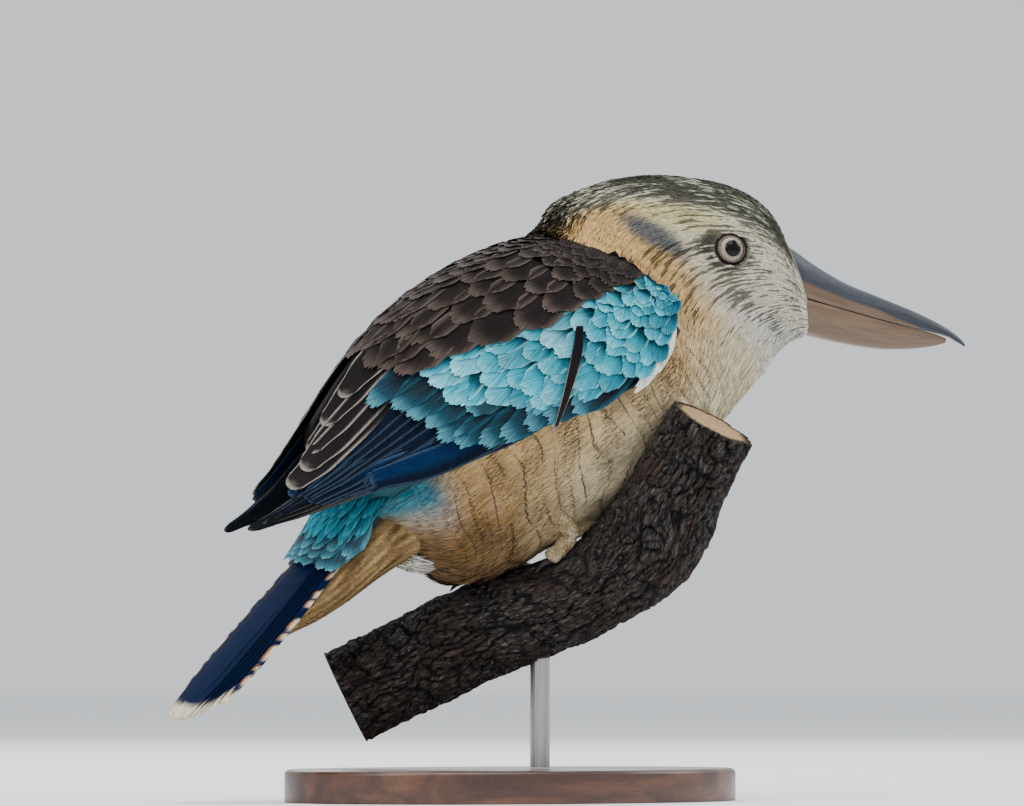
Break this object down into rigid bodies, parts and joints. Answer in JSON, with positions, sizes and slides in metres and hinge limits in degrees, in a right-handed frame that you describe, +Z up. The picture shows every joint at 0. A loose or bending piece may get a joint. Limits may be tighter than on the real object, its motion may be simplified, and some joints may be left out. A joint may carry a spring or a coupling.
{
  "type": "blue-winged kookaburra model",
  "caption": "Life-size perched kookaburra with a turned head, folded blue wings and drooping tail, gripping a cut length of branch on a flat stand.",
  "frame": {"origin": "centre of the underside of the stand's base", "axes": "+X the way the bird's body points, +Y the bird's left, +Z up"},
  "size_m": [0.3261, 0.1303, 0.2521],
  "materials": {
    "bill_pale": "satin tan horn",
    "bill_dark": "glossy slate-black horn",
    "claw": "satin dark horn",
    "eye": "wet glossy pale iris with a black pupil",
    "foot_scale": "dry yellowish-olive scales",
    "face_feather": "soft matt feathers, cream with blackish-brown streaks",
    "belly_feather": "soft matt contour feathers, buff-ochre with fine dark wavy bars",
    "bark": "deeply furrowed dry dark bark",
    "stand_wood": "dark stained and waxed hardwood",
    "stand_steel": "brushed steel",
    "tail_feather": "silky deep blue feathers with cream tips",
    "wing_feather": "silky feathers: pale turquoise coverts, deep blue secondaries, dark brown scapulars"
  },
  "bodies": {
    "root": {"bill_lower": "bill_pale", "bill_upper": "bill_dark", "claw_left_hind": "claw", "claw_left_inner": "claw", "claw_left_middle": "claw", "claw_left_outer": "claw", "claw_right_hind": "claw", "claw_right_inner": "claw", "claw_right_middle": "claw", "claw_right_outer": "claw", "eye_left": "eye", "eye_right": "eye", "foot_left": "foot_scale", "foot_right": "foot_scale", "head": "face_feather", "leg_left": "belly_feather", "leg_right": "belly_feather", "neck": "face_feather", "perch": "bark", "stand_base": "stand_wood", "stand_rod": "stand_steel", "tail": "tail_feather", "tail_coverts_under": "belly_feather", "torso": "belly_feather", "wing_left": "wing_feather", "wing_right": "wing_feather"}
  },
  "joints": []
}
